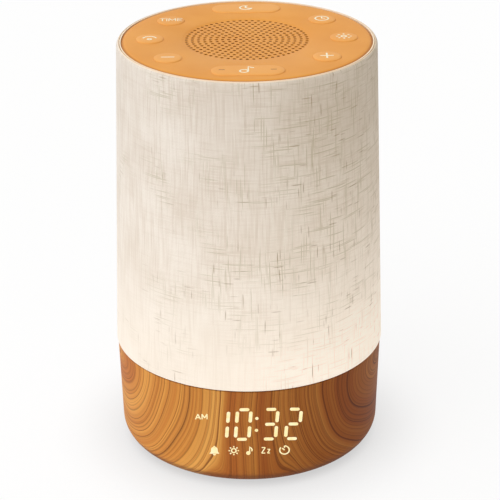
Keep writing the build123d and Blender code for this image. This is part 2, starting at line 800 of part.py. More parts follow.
basket_bottom = speaker_top - basket_depth
with BuildPart() as speaker_basket:
    with BuildSketch(Plane.XZ):
        with BuildLine():
            Polyline(
                (0, basket_bottom),
                (basket_back_radius, basket_bottom),
                (basket_rim_radius, cup_top),
                (basket_rim_radius, speaker_top),
                (basket_rim_radius - basket_wall, speaker_top),
                (basket_back_radius - basket_wall, basket_bottom + basket_wall),
                (0, basket_bottom + basket_wall),
                close=True,
            )
        make_face()
    revolve(axis=Axis.Z)
    with BuildSketch(Plane.XY.offset(cup_top)):
        Rectangle(speaker_size, speaker_size)
        Circle(basket_rim_radius - basket_wall, mode=Mode.SUBTRACT)
    extrude(amount=speaker_flange)
save(speaker_basket.part, "speaker_basket")

cone_radius = basket_rim_radius - basket_wall - surround_width
cone_bottom = speaker_top - cone_depth
with BuildPart() as speaker_cone:
    with BuildSketch(Plane.XZ):
        with BuildLine():
            Polyline(
                (0, cone_bottom),
                (dust_cap_radius, cone_bottom),
                (cone_radius, speaker_top),
                (basket_rim_radius, speaker_top),
                (basket_rim_radius, speaker_top + cone_thickness),
                (cone_radius, speaker_top + cone_thickness),
                (dust_cap_radius, cone_bottom + cone_thickness),
                (0, cone_bottom + cone_thickness),
                close=True,
            )
        make_face()
    revolve(axis=Axis.Z)
save(speaker_cone.part, "speaker_cone")

with BuildPart() as speaker_magnet:
    with BuildSketch(Plane.XY.offset(basket_bottom)):
        Circle(basket_back_radius)
    extrude(amount=-magnet_height)
save(speaker_magnet.part, "speaker_magnet")

# The tray closes the panel from below. Its edge bears on the rim, the key board lies on it, and its
# square cup is the speaker chamber, which presses the speaker's frame against the gasket.
with BuildPart() as top_tray:
    with BuildSketch(Plane.XY.offset(tray_bottom)):
        Circle(rim_spigot_radius)
        with Locations(*post_places):
            RegularPolygon(tray_screw_radius + screw_clearance, side_count=screw_sides, mode=Mode.SUBTRACT)
        with Locations(duct_place):
            Rectangle(
                ribbon_width + 2 * fit_clearance, ribbon_thickness + 2 * fit_clearance, mode=Mode.SUBTRACT
            )
    extrude(amount=tray_wall)
    with BuildSketch(Plane.XY.offset(cup_floor_top - tray_wall)):
        Rectangle(speaker_size, speaker_size)
    extrude(amount=tray_wall + cup_depth)
    with BuildSketch(Plane.XY.offset(cup_floor_top)):
        Rectangle(speaker_size - 2 * cup_wall, speaker_size - 2 * cup_wall)
    extrude(amount=cup_depth + overrun, mode=Mode.SUBTRACT)
save(top_tray.part, "top_tray")

with BuildPart() as tray_screws:
    with BuildSketch(Plane.XY.offset(tray_bottom - screw_head_height)):
        with Locations(*post_places):
            RegularPolygon(screw_head_radius, side_count=screw_sides)
    extrude(amount=screw_head_height)
    with BuildSketch(Plane.XY.offset(tray_bottom)):
        with Locations(*post_places):
            RegularPolygon(tray_screw_radius, side_count=screw_sides)
    extrude(amount=key_board_top + tray_screw_bite - tray_bottom)
save(tray_screws.part, "tray_screws")
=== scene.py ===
from math import cos, pi, radians, sin, sqrt, tan

import bpy
from mathutils import Matrix, Vector


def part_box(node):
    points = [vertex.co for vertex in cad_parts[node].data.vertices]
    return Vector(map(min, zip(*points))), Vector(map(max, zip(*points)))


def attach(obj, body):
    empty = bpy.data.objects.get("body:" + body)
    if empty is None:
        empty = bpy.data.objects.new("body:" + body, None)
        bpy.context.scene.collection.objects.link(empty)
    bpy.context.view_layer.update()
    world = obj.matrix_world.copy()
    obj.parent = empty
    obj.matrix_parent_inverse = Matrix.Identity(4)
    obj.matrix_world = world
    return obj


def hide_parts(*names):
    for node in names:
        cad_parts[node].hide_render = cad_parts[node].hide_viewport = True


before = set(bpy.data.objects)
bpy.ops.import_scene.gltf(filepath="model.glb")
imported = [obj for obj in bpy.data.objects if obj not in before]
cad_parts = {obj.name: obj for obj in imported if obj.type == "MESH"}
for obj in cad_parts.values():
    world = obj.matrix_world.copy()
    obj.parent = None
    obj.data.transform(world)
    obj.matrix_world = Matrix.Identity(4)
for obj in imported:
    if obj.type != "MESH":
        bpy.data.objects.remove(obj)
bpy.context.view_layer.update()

# The base is a moulded cup with a printed wood grain film over it, and is clamped to the lamp deck by screws
# from below. Growth rings spread from both sides in drawn-out arcs and run upright across the front.


def add_node(tree, kind, inputs=None, **fields):
    """A shader node with its fields set, and its inputs set or linked."""
    node = tree.nodes.new(kind)
    for field, value in fields.items():
        setattr(node, field, value)
    for socket, value in (inputs or {}).items():
        if isinstance(value, bpy.types.NodeSocket):
            tree.links.new(value, node.inputs[socket])
        else:
            node.inputs[socket].default_value = value
    return node


def math_node(tree, operation, *values):
    """The output of a Math node."""
    return add_node(tree, "ShaderNodeMath", dict(enumerate(values)), operation=operation).outputs[0]


def mix_colors(tree, factor, first, second, mode="MIX"):
    """The output of a Mix node for colours."""
    mix = add_node(tree, "ShaderNodeMix", data_type="RGBA", blend_type=mode)
    for socket, value in (("Factor_Float", factor), ("A_Color", first), ("B_Color", second)):
        target = next(entry for entry in mix.inputs if entry.identifier == socket)
        if isinstance(value, bpy.types.NodeSocket):
            tree.links.new(value, target)
        else:
            target.default_value = value
    return next(entry for entry in mix.outputs if entry.identifier == "Result_Color")


def ramp(tree, factor, stops):
    """The colour output of a Color Ramp with the given (place, colour) stops."""
    node = add_node(tree, "ShaderNodeValToRGB", {"Fac": factor})
    elements = node.color_ramp.elements
    while len(elements) < len(stops):
        elements.new(0.5)
    for element, (place, color) in zip(elements, stops):
        element.position = place
        element.color = color
    return node.outputs["Color"]


def mask(tree, factor, low, high, top=1.0):
    """A grey value that rises from 0 to top between two places of a factor."""
    limits = {"Value": factor, "From Min": low, "From Max": high, "To Min": 0.0, "To Max": top}
    return add_node(tree, "ShaderNodeMapRange", limits, interpolation_type="SMOOTHSTEP").outputs[0]


def noise(tree, scale, detail, place=None, line=None):
    """The grey output of a Noise Texture, at a place in space or along a line."""
    if line is None:
        fields = {"noise_dimensions": "3D"}
        inputs = {"Vector": place, "Scale": scale, "Detail": detail}
    else:
        fields = {"noise_dimensions": "1D"}
        inputs = {"W": line, "Scale": scale, "Detail": detail}
    return add_node(tree, "ShaderNodeTexNoise", inputs, **fields).outputs[0]


def screen_color(red, green, blue):
    """A colour written as 0 to 255 screen values, in the linear values that a shader takes."""
    linear = []
    for value in (red, green, blue):
        share = value / 255
        linear.append(share / 12.92 if share < 0.04045 else ((share + 0.055) / 1.055) ** 2.4)
    return (*linear, 1.0)


def new_material(name, roughness):
    """A material with its node tree and its shader."""
    material = bpy.data.materials.new(name)
    material.use_nodes = True
    shader = material.node_tree.nodes["Principled BSDF"]
    shader.inputs["Roughness"].default_value = roughness
    return material, material.node_tree, shader


def place_in_millimetres(tree):
    """The place on the object in millimetres."""
    place = add_node(tree, "ShaderNodeTexCoord").outputs["Object"]
    scaled = add_node(tree, "ShaderNodeVectorMath", {0: place, 1: (1000, 1000, 1000)}, operation="MULTIPLY")
    return scaled.outputs["Vector"]


def dress(material, *nodes):
    """Give solid pieces of the frame their finish."""
    for node in nodes:
        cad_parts[node].material_slots[0].material = material


def wood_grain():
    """Wood with rings about a pith at either side, painted shade at the right and round the bottom edge."""
    pith_across = 60.0
    pith_height = 46.0
    arc_stretch = 0.72
    arc_reach = 20.0
    ring_spacing = 2.3
    ring_drift = 12.0
    drift_scale = 0.02
    ring_stretch = 7.0
    stretch_scale = 0.16
    band_shift = 12.0
    band_scale = 0.085
    fibre_scale = 1.3
    strength_scale = 0.35
    late_wood = (0.2, 0.95, 0.45)
    ring_edge = (0.84, 0.95)
    painted_wood_shade_span = (-48.0, 42.0)
    lower_edge = base_low[2] * 1000
    painted_bottom_shade_span = (lower_edge + 6.8, lower_edge + 4.4, 0.6)
    light_wood = screen_color(238, 174, 88)
    tan_wood = screen_color(214, 145, 66)
    red_wood = screen_color(190, 112, 48)
    dark_wood = screen_color(104, 56, 24)
    painted_shade_wood = screen_color(178, 154, 140)
    material, tree, shader = new_material("printed_wood_grain", 0.55)
    shader.inputs["Specular IOR Level"].default_value = 0.12
    place = place_in_millimetres(tree)
    axes = add_node(tree, "ShaderNodeSeparateXYZ", {0: place})
    side = math_node(tree, "SIGN", axes.outputs["X"])
    across = math_node(tree, "ABSOLUTE", axes.outputs["X"])
    below = math_node(tree, "SUBTRACT", axes.outputs["Z"], pith_height)
    below = math_node(tree, "MULTIPLY", below, mask(tree, across, 0.0, arc_reach, arc_stretch))
    aside = math_node(tree, "SUBTRACT", across, pith_across)
    from_pith = add_node(tree, "ShaderNodeCombineXYZ", {0: aside, 1: below})
    distance = add_node(tree, "ShaderNodeVectorMath", {0: from_pith.outputs[0]}, operation="LENGTH")
    inward = math_node(tree, "SUBTRACT", pith_across, distance.outputs["Value"])
    drift = math_node(tree, "SUBTRACT", noise(tree, drift_scale, 1.0, place), 0.5)
    ring = math_node(tree, "MULTIPLY_ADD", drift, ring_drift, math_node(tree, "MULTIPLY", side, inward))
    stretch = math_node(tree, "SUBTRACT", noise(tree, stretch_scale, 1.0, line=ring), 0.5)
    uneven = math_node(tree, "MULTIPLY_ADD", stretch, ring_stretch, ring)
    phase = math_node(tree, "FRACT", math_node(tree, "DIVIDE", uneven, ring_spacing))
    bands = noise(tree, band_scale, 2.0, line=math_node(tree, "ADD", ring, band_shift))
    fibres = noise(tree, fibre_scale, 3.0, line=ring)
    color = ramp(tree, bands, [(0.34, light_wood), (0.5, tan_wood), (0.64, red_wood)])
    color = mix_colors(tree, mask(tree, phase, *late_wood), color, red_wood)
    strength = mask(tree, noise(tree, strength_scale, 1.0, line=ring), 0.36, 0.62, 0.8)
    ring_line = math_node(tree, "MULTIPLY", mask(tree, phase, *ring_edge), strength)
    color = mix_colors(tree, ring_line, color, dark_wood)
    color = mix_colors(tree, mask(tree, fibres, 0.46, 0.74, 0.5), color, dark_wood)
    # painted shade: the wood is multiplied darker towards the right, where less light falls
    painted_wood_shade = mask(tree, axes.outputs["X"], *painted_wood_shade_span)
    color = mix_colors(tree, painted_wood_shade, color, painted_shade_wood, "MULTIPLY")
    # painted shade: darker under the rounded bottom edge, where the base turns away from the light
    painted_bottom_shade = mask(tree, axes.outputs["Z"], *painted_bottom_shade_span)
    color = mix_colors(tree, painted_bottom_shade, color, dark_wood)
    tree.links.new(color, shader.inputs["Base Color"])
    relief = add_node(tree, "ShaderNodeBump", {"Height": fibres, "Strength": 0.08, "Distance": 0.0002})
    tree.links.new(relief.outputs[0], shader.inputs["Normal"])
    return material


base_low, base_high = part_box("base_shell")
dress(wood_grain(), "base_shell")

# The display shines through the thin wood skin at the front: four clock digits of seven bars, a half-day sign
# and a row of small signs. Each is a patch of light that lies on the wall and follows its curve.
base_top_radius = base_high[0]
base_lean = 0.0015
light_skin = 0.00012
row_slope = tan(radians(30))
digits_height = 0.0331
signs_height = 0.0199
half_day_rise = 0.0042
digit_size = (0.0058, 0.0149)
digit_lean = tan(radians(4.5))
bar_width = 0.0014
level_gap = 0.0008
corner_gap = 0.0010
middle_gap = 0.0010
digit_bars = {-0.01295: "bc", -0.0033: "abcdef", 0.0083: "abcdg", 0.0185: "abdeg"}
colon_across = 0.0025
colon_radius = 0.0007
colon_rise = 0.0030
colon_lean = 0.0001
half_day_across = -0.0214
sign_stroke = 0.0006
letter_stroke = 0.0005
stroke_lift = 0.1


def wall_radius(height):
    """Outside radius of the base."""
    share = (height - base_low[2]) / (base_high[2] - base_low[2])
    return base_top_radius - base_lean * (1 - share)


def polar(reach, angle, center=(0, 0)):
    """A point at a reach and an angle in degrees from a centre."""
    return (center[0] + reach * cos(radians(angle)), center[1] + reach * sin(radians(angle)))


def arc(radius, start, end, center=(0, 0), steps=24):
    """Points along an arc, angles in degrees."""
    return [polar(radius, start + (end - start) * step / steps, center) for step in range(steps + 1)]


def disc(radius, center=(0, 0), steps=20):
    """Outline of a disc."""
    return arc(radius, 0, 360 * (steps - 1) / steps, center, steps - 1)


def capsule(start, end, width):
    """Outline of a bar with round ends."""
    turn = Vector((1, 0)).angle_signed(Vector(end) - Vector(start)) * -180 / pi
    return arc(width / 2, turn + 90, turn + 270, start, 8) + arc(width / 2, turn - 90, turn + 90, end, 8)


def pick(*pieces):
    """Select pieces and nothing else, with the first as the active one."""
    bpy.ops.object.select_all(action="DESELECT")
    for piece in pieces:
        piece.select_set(True)
    bpy.context.view_layer.objects.active = pieces[0]


def joined(name, pieces):
    """Several pieces joined into one."""
    pick(*pieces)
    if len(pieces) > 1:
        bpy.ops.object.join()
    pieces[0].name = name
    return pieces[0]


def drawn_lines(lines, closed, depth):
    """A thin flat piece drawn through lists of points: filled shapes, or strokes that lie a hair apart."""
    curve = bpy.data.curves.new("drawing", "CURVE")
    curve.dimensions = "2D" if closed else "3D"
    curve.fill_mode = "BOTH" if closed else "FULL"
    curve.twist_mode = "Z_UP"
    curve.bevel_depth = depth
    curve.bevel_resolution = 1
    curve.use_fill_caps = True
    for step, points in enumerate(lines):
        spline = curve.splines.new("POLY")
        spline.points.add(len(points) - 1)
        for point, (across, up) in zip(spline.points, points):
            point.co = (across, up, stroke_lift * depth * step, 1)
        spline.use_cyclic_u = closed
    drawing = bpy.data.objects.new("drawing", curve)
    bpy.context.collection.objects.link(drawing)
    pick(drawing)
    bpy.ops.object.convert(target="MESH")
    bpy.ops.transform.resize(value=(1, 1, light_skin / (2 * depth)))
    bpy.ops.object.transform_apply(location=False, rotation=False, scale=True)
    return bpy.context.object


def flat_sign(name, fills=(), strokes=(), stroke=sign_stroke):
    """A flat sign about the origin, made of filled outlines and of strokes of one width."""
    pieces = []
    if fills:
        pieces.append(drawn_lines(fills, True, light_skin / 2))
    if strokes:
        pieces.append(drawn_lines(strokes, False, stroke / 2))
    return joined(name, pieces)


letter_strokes = {
    "A": [[(-0.42, 0), (0, 1)], [(0, 1), (0.42, 0)], [(-0.28, 0.32), (0.28, 0.32)]],
    "E": [[(0.3, 1), (-0.3, 1), (-0.3, 0), (0.3, 0)], [(-0.3, 0.5), (0.2, 0.5)]],
    "I": [[(0, 0), (0, 1)]],
    "M": [
        [(-0.42, 0), (-0.42, 1)],
        [(-0.42, 1), (0, 0.25)],
        [(0, 0.25), (0.42, 1)],
        [(0.42, 1), (0.42, 0)],
    ],
    "T": [[(-0.38, 1), (0.38, 1)], [(0, 1), (0, 0)]],
    "Z": [[(-0.28, 1), (0.28, 1)], [(0.28, 1), (-0.28, 0)], [(-0.28, 0), (0.28, 0)]],
}


def word_sign(name, letters, stroke):
    """A flat word about the origin, of (letter, place along the word, height) entries on one foot line."""
    foot = -max(height for letter, along, height in letters) / 2
    strokes = []
    for letter, along, height in letters:
        for line in letter_strokes[letter]:
            strokes.append([(along + height * across, foot + height * up) for across, up in line])
    return flat_sign(name, strokes=strokes, stroke=stroke)


def lay_on_wall(sign, across, height):
    """Wrap a flat sign round the front of the base, in a row that looks level from the front."""
    radius = wall_radius(height)
    for vertex in sign.data.vertices:
        side = across + vertex.co.x
        up = height + vertex.co.y - row_slope * (radius - sqrt(radius**2 - side**2))
        vertex.co = (side, -sqrt(wall_radius(up) ** 2 - side**2) - vertex.co.z, up)


def display_light():
    """Warm light with a faint shimmer, over the dark skin that it shines through."""
    material, tree, shader = new_material("display_light", 0.5)
    shimmer = noise(tree, 0.5, 1.0, place_in_millimetres(tree))
    glow = ramp(tree, shimmer, [(0.3, screen_color(255, 232, 160)), (0.7, screen_color(255, 246, 200))])
    skin = ramp(tree, shimmer, [(0.3, screen_color(52, 34, 18)), (0.7, screen_color(66, 44, 24))])
    tree.links.new(skin, shader.inputs["Base Color"])
    tree.links.new(glow, shader.inputs["Emission Color"])
    shader.inputs["Emission Strength"].default_value = 1.0
    return material


def digit(name, bars):
    """One clock digit of seven-bar form, leaning a little to the right."""
    half_width, half_height = digit_size[0] / 2, digit_size[1] / 2
    level_reach = half_width - level_gap - bar_width / 2
    upright_span = (middle_gap + bar_width / 2, half_height - corner_gap - bar_width / 2)
    level = {"a": half_height, "g": 0.0, "d": -half_height}
    upright = {"b": (1, 1), "c": (1, -1), "e": (-1, -1), "f": (-1, 1)}
    outlines = []
    for bar in bars:
        if bar in level:
            ends = [(-level_reach, level[bar]), (level_reach, level[bar])]
        else:
            side, up = upright[bar]
            ends = [(side * half_width, up * height) for height in upright_span]
        start, end = [(across + rise * digit_lean, rise) for across, rise in ends]
        outlines.append(capsule(start, end, bar_width))
    return flat_sign(name, fills=outlines)


display_signs = []
for digit_across, bars in digit_bars.items():
    display_signs.append(digit(f"digit_{len(display_signs) + 1}", bars))
    lay_on_wall(display_signs[-1], digit_across, digits_height)
colon_dots = [disc(colon_radius, (side * colon_lean, side * colon_rise)) for side in (1, -1)]
colon = flat_sign("colon", fills=colon_dots)
lay_on_wall(colon, colon_across, digits_height)
half_day = word_sign("half_day_sign", [("A", -0.0015, 0.0026), ("M", 0.0014, 0.0026)], letter_stroke)
lay_on_wall(half_day, half_day_across, digits_height + half_day_rise)
bell = flat_sign(
    "bell_sign",
    fills=[
        [(-0.0021, -0.0014), (-0.0015, -0.0006)]
        + arc(0.0014, 180, 0, (0, 0.0006), 12)
        + [(0.0015, -0.0006), (0.0021, -0.0014)],
        arc(0.0006, 180, 360, (0, -0.0017), 8),
        disc(0.0004, (0, 0.0021), 8),
    ],
)
sun_rays = [[polar(0.0016, 45 * step), polar(0.0023, 45 * step)] for step in range(8)]
sun = flat_sign("sun_sign", strokes=[arc(0.0010, 0, 360)] + sun_rays)
note = flat_sign(
    "note_sign",
    fills=[disc(0.0009, (-0.0006, -0.0013))],
    strokes=[[(0, -0.0012), (0, 0.0018), (0.0007, 0.0011), (0.0011, 0.0004), (0.0009, -0.0004)]],
)
snooze = word_sign("snooze_sign", [("Z", -0.0010, 0.0028), ("Z", 0.0013, 0.0019)], letter_stroke)
timer_hands = [[(0, 0), (-0.0010, 0.0010)], [(0, 0.0021), (0, 0.0012)]]
timer = flat_sign("timer_sign", strokes=[arc(0.0021, 140, 450)] + timer_hands)
sign_row = [(bell, -0.0160), (sun, -0.0075), (note, -0.0006), (snooze, 0.0064), (timer, 0.0146)]
for sign, across in sign_row:
    lay_on_wall(sign, across, signs_height)
display_signs += [colon, half_day] + [sign for sign, across in sign_row]
light_material = display_light()
for sign in display_signs:
    sign.data.materials.append(light_material)
    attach(sign, "clock_body")

# The feet are four rubber pads glued under the base, beside three recessed steel screws. The steel shell of
# the power socket shows in a slot at the back.


def moulded_grain_group():
    """Uneven tone and a fine moulded grain, for plastics, rubber and metal."""
    group = bpy.data.node_groups.new("moulded_grain", "ShaderNodeTree")
    for name in ("Light", "Dark"):
        group.interface.new_socket(name, in_out="INPUT", socket_type="NodeSocketColor")
    group.interface.new_socket("Grain", in_out="INPUT", socket_type="NodeSocketFloat")
    group.interface.new_socket("Color", in_out="OUTPUT", socket_type="NodeSocketColor")
    group.interface.new_socket("Height", in_out="OUTPUT", socket_type="NodeSocketFloat")
    entry = group.nodes.new("NodeGroupInput")
    leave = group.nodes.new("NodeGroupOutput")
    place = place_in_millimetres(group)
    cloud = noise(group, 0.05, 3.0, place)
    grain = noise(group, entry.outputs["Grain"], 2.0, place)
    tone = math_node(group, "MULTIPLY_ADD", grain, 0.35, cloud)
    factor = mask(group, tone, 0.4, 0.95)
    color = mix_colors(group, factor, entry.outputs["Dark"], entry.outputs["Light"])
    group.links.new(color, leave.inputs["Color"])
    group.links.new(grain, leave.inputs["Height"])
    return group


moulded_grain = moulded_grain_group()


def moulded(name, light, dark, roughness, grain=3.0, relief=0.15):
    """A moulded material with a fine grain."""
    material, tree, shader = new_material(name, roughness)
    skin = add_node(tree, "ShaderNodeGroup", node_tree=moulded_grain)
    skin.inputs["Light"].default_value = screen_color(*light)
    skin.inputs["Dark"].default_value = screen_color(*dark)
    skin.inputs["Grain"].default_value = grain
    tree.links.new(skin.outputs["Color"], shader.inputs["Base Color"])
    limits = {"Height": skin.outputs["Height"], "Strength": relief, "Distance": 0.0001}
    bump = add_node(tree, "ShaderNodeBump", limits)
    tree.links.new(bump.outputs[0], shader.inputs["Normal"])
    return material


def metal(name, light, dark, roughness):
    """A plain metal with faint streaks."""
    material = moulded(name, light, dark, roughness, 5.0, 0.05)
    material.node_tree.nodes["Principled BSDF"].inputs["Metallic"].default_value = 1.0
    return material


dress(moulded("foot_rubber", (46, 45, 44), (30, 29, 28), 0.85), "rubber_feet")
screw_steel = metal("screw_steel", (176, 176, 178), (140, 140, 144), 0.35)
dress(screw_steel, "base_screws", "display_screws", "tray_screws", "speaker_basket")
dress(metal("socket_steel", (200, 200, 202), (168, 168, 172), 0.25), "power_socket")

# Inside the base are the green main board with its chips and capacitor, and the display with its white light
# box, clear lens and own board. They are closed in, and seen only when the clock is taken apart.
board_green = moulded("board_green", (36, 104, 62), (22, 74, 42), 0.4)
dress(board_green, "main_board", "display_board", "key_board")
black_plastic = moulded("black_plastic", (40, 40, 42), (24, 24, 26), 0.5)
dress(black_plastic, "control_chips", "display_header", "key_switches")
dress(metal("capacitor_can", (170, 172, 178), (140, 142, 148), 0.3), "supply_capacitor")
white_plastic = moulded("white_plastic", (236, 234, 228), (222, 219, 211), 0.5)
dress(white_plastic, "display_light_box", "harness_plug", "cable_duct", "top_tray")
lens_clear = moulded("lens_clear", (246, 246, 242), (236, 236, 230), 0.05)
lens_clear.node_tree.nodes["Principled BSDF"].inputs["Transmission Weight"].default_value = 1.0
dress(lens_clear, "display_lens")
dress(moulded("ribbon_grey", (168, 168, 166), (140, 140, 138), 0.6), "lamp_lead", "harness")

# The lamp deck is a moulded plate between the base and the shade. Only the edge of its flange shows, as the
# dark line of the seam. The lamp board with its yellow diodes lies on it.
# painted shade: the white deck is coloured brown so that its flange shows as the shadow line of the seam
dress(moulded("deck_painted_shade", (120, 74, 40), (92, 54, 28), 0.6), "light_deck")
dress(moulded("lamp_board_white", (236, 236, 232), (222, 222, 218), 0.4), "lamp_board")
dress(moulded("lamp_diode", (250, 226, 130), (240, 206, 96), 0.3), "lamp_leds")

# The shade is an opal tube with a linen sleeve glued round it and turned over the rim. The cloth is plain
# woven from uneven yarn, so thick places show as grey-brown dashes, and the lamp lights it from below.
dress(moulded("opal_tube", (246, 242, 232), (238, 232, 220), 0.45), "shade_diffuser")
cloth_low, cloth_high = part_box("shade_fabric")
cloth_bottom_radius = cloth_high[0]
cloth_taper = 0.0042
cloth_thickness = 0.0009
shoulder_radius = 0.0020
shoulder_turn = 60
cloth_rows = 28
cloth_steps = 192
warp_yarns = 640


def turned(name, outline, steps):
    """Turn an outline of (radius, height) points round the axis, ring by ring."""
    bpy.ops.object.select_all(action="DESELECT")
    radius, height = outline[0]
    bpy.ops.mesh.primitive_circle_add(vertices=steps, radius=radius, location=(0, 0, height))
    bpy.ops.object.transform_apply(location=True, rotation=False, scale=False)
    piece = bpy.context.object
    piece.name = name
    bpy.ops.object.mode_set(mode="EDIT")
    bpy.ops.mesh.select_all(action="SELECT")
    for next_radius, next_height in outline[1:]:
        bpy.ops.mesh.extrude_region_move(TRANSFORM_OT_translate={"value": (0, 0, next_height - height)})
        grow = next_radius / radius
        bpy.ops.transform.resize(value=(grow, grow, 1), center_override=(0, 0, next_height))
        radius, height = next_radius, next_height
    bpy.ops.mesh.select_all(action="SELECT")
    bpy.ops.mesh.remove_doubles(threshold=0.000001)
    bpy.ops.mesh.normals_make_consistent(inside=False)
    bpy.ops.object.mode_set(mode="OBJECT")
    bpy.ops.object.shade_smooth_by_angle(angle=radians(40))
    return piece


def slub_linen():
    """Plain weave of uneven yarn with brown dashes, lit by the lamp from below, with painted shade at the
    right.
    """
    pale_linen = screen_color(239, 230, 220)
    grey_linen = screen_color(212, 197, 182)
    even_linen = screen_color(225, 213, 198)
    tan_linen = screen_color(180, 165, 136)
    slub_brown = screen_color(140, 108, 66)
    painted_shoulder_highlight = screen_color(248, 226, 200)
    lamp_color = screen_color(249, 238, 223)
    lamp_span = (138.0, 0.0, 0.34)
    near_span = (45.0, 0.0, 0.16)
    painted_glow_side_span = (-45.0, 50.0)
    painted_glow_wash_span = (75.0, 0.0, 0.6)
    painted_highlight_span = (137.7, 138.1, 0.9)
    painted_shade_side_span = (-20.0, 50.0)
    painted_shade_height_span = (0.0, 120.0, 0.3)
    sway_scale = 0.03
    yarn_sway = 5.0
    seed_spread = 9000.0
    tone_scale = 0.04
    slub_scale = 0.07
    cloud_scale = 0.045
    cluster_scale = 0.04
    cluster_lean = 0.0035
    cluster_span = (0.32, 0.62)
    yarn_body = (0.0, 0.8)
    thick_yarn = (0.52, 0.76, 0.8)
    warp_dashes = (0.71, 0.85, 0.7)
    weft_dashes = (0.73, 0.86, 0.65)
    warp_offset = 0.5
    weft_offset = 700.5
    material, tree, shader = new_material("slub_linen", 0.9)
    place = place_in_millimetres(tree)
    axes = add_node(tree, "ShaderNodeSeparateXYZ", {0: place})
    toward = math_node(tree, "MULTIPLY", axes.outputs["Y"], -1.0)
    turn = math_node(tree, "ARCTAN2", axes.outputs["X"], toward)
    radius = cloth_bottom_radius * 1000
    yarn_pitch = 2 * pi * radius / warp_yarns
    around = math_node(tree, "MULTIPLY", turn, radius)
    up = axes.outputs["Z"]
    height = math_node(tree, "SUBTRACT", up, cloth_low[2] * 1000)
    sway = math_node(tree, "SUBTRACT", noise(tree, sway_scale, 2.0, place), 0.5)

    def yarn_run(across, along, offset):
        """Number of the yarn, profile across it, and its own uneven tone and thickness along it."""
        course = math_node(tree, "DIVIDE", across, yarn_pitch)
        course = math_node(tree, "MULTIPLY_ADD", sway, yarn_sway, course)
        number = math_node(tree, "FLOOR", course)
        bow = math_node(tree, "SINE", math_node(tree, "MULTIPLY", math_node(tree, "FRACT", course), pi))
        own = {"W": math_node(tree, "ADD", number, offset)}
        seed = add_node(tree, "ShaderNodeTexWhiteNoise", own, noise_dimensions="1D").outputs["Value"]
        line = math_node(tree, "MULTIPLY_ADD", seed, seed_spread, along)
        return number, bow, noise(tree, tone_scale, 1.0, line=line), noise(tree, slub_scale, 1.0, line=line)

    warp_number, warp_bow, warp_tone, warp_slub = yarn_run(around, up, warp_offset)
    weft_number, weft_bow, weft_tone, weft_slub = yarn_run(up, around, weft_offset)
    cloud = noise(tree, cloud_scale, 3.0, place)
    patches = noise(tree, cluster_scale, 2.0, place)
    rightward = math_node(tree, "MULTIPLY_ADD", axes.outputs["X"], cluster_lean, patches)
    cluster = mask(tree, rightward, *cluster_span)
    weft_share = math_node(tree, "MULTIPLY_ADD", cluster, 0.8, 0.3)
    weft_part = math_node(tree, "MULTIPLY", math_node(tree, "SUBTRACT", weft_tone, 0.5), weft_share)
    yarn_tone = math_node(tree, "ADD", math_node(tree, "ADD", warp_tone, weft_part), 0.5)
    tone = math_node(tree, "MULTIPLY_ADD", cloud, 0.8, yarn_tone)
    color = mix_colors(tree, mask(tree, tone, 0.9, 1.9), grey_linen, pale_linen)
    crossing = math_node(tree, "MULTIPLY", math_node(tree, "ADD", warp_number, weft_number), 0.5)
    on_top = math_node(tree, "GREATER_THAN", math_node(tree, "FRACT", crossing), 0.25)
    over = math_node(tree, "MULTIPLY", warp_bow, on_top)
    under = math_node(tree, "MULTIPLY", weft_bow, math_node(tree, "SUBTRACT", 1.0, on_top))
    weave = math_node(tree, "ADD", over, under)
    color = mix_colors(tree, mask(tree, weave, 0.8, 0.0, 0.35), color, tan_linen)
    warp_body = mask(tree, warp_bow, *yarn_body)
    weft_body = mask(tree, weft_bow, *yarn_body)
    warp_thick = math_node(tree, "MULTIPLY", mask(tree, warp_tone, *thick_yarn), warp_body)
    weft_thick = math_node(tree, "MULTIPLY", mask(tree, weft_tone, *thick_yarn), weft_body)
    thick = math_node(tree, "MAXIMUM", warp_thick, weft_thick)
    thick = math_node(tree, "MULTIPLY", thick, math_node(tree, "MULTIPLY_ADD", cluster, 0.9, 0.15))
    color = mix_colors(tree, thick, color, tan_linen)
    # painted light: towards the bottom the weave fades into an even tone, washed out by the lamp glow behind
    # it
    painted_glow_wash = mask(tree, height, *painted_glow_wash_span)
    color = mix_colors(tree, painted_glow_wash, color, even_linen)
    thick = math_node(tree, "MULTIPLY", thick, math_node(tree, "SUBTRACT", 1.0, painted_glow_wash))
    warp_dash = math_node(tree, "MULTIPLY", mask(tree, warp_slub, *warp_dashes), warp_body)
    weft_dash = math_node(tree, "MULTIPLY", mask(tree, weft_slub, *weft_dashes), weft_body)
    dash = math_node(tree, "MULTIPLY", math_node(tree, "MAXIMUM", warp_dash, weft_dash), cluster)
    color = mix_colors(tree, dash, color, slub_brown)
    # painted shade: the cloth turns tan towards the right and higher up, where less light falls
    aside = mask(tree, axes.outputs["X"], *painted_shade_side_span)
    painted_linen_shade = math_node(tree, "MULTIPLY", aside, mask(tree, height, *painted_shade_height_span))
    color = mix_colors(tree, painted_linen_shade, color, tan_linen)
    # painted highlight: the cloth turned over the top edge is paler cream, where light catches the shoulder
    edge = mask(tree, height, *painted_highlight_span)
    color = mix_colors(tree, edge, color, painted_shoulder_highlight)
    tree.links.new(color, shader.inputs["Base Color"])
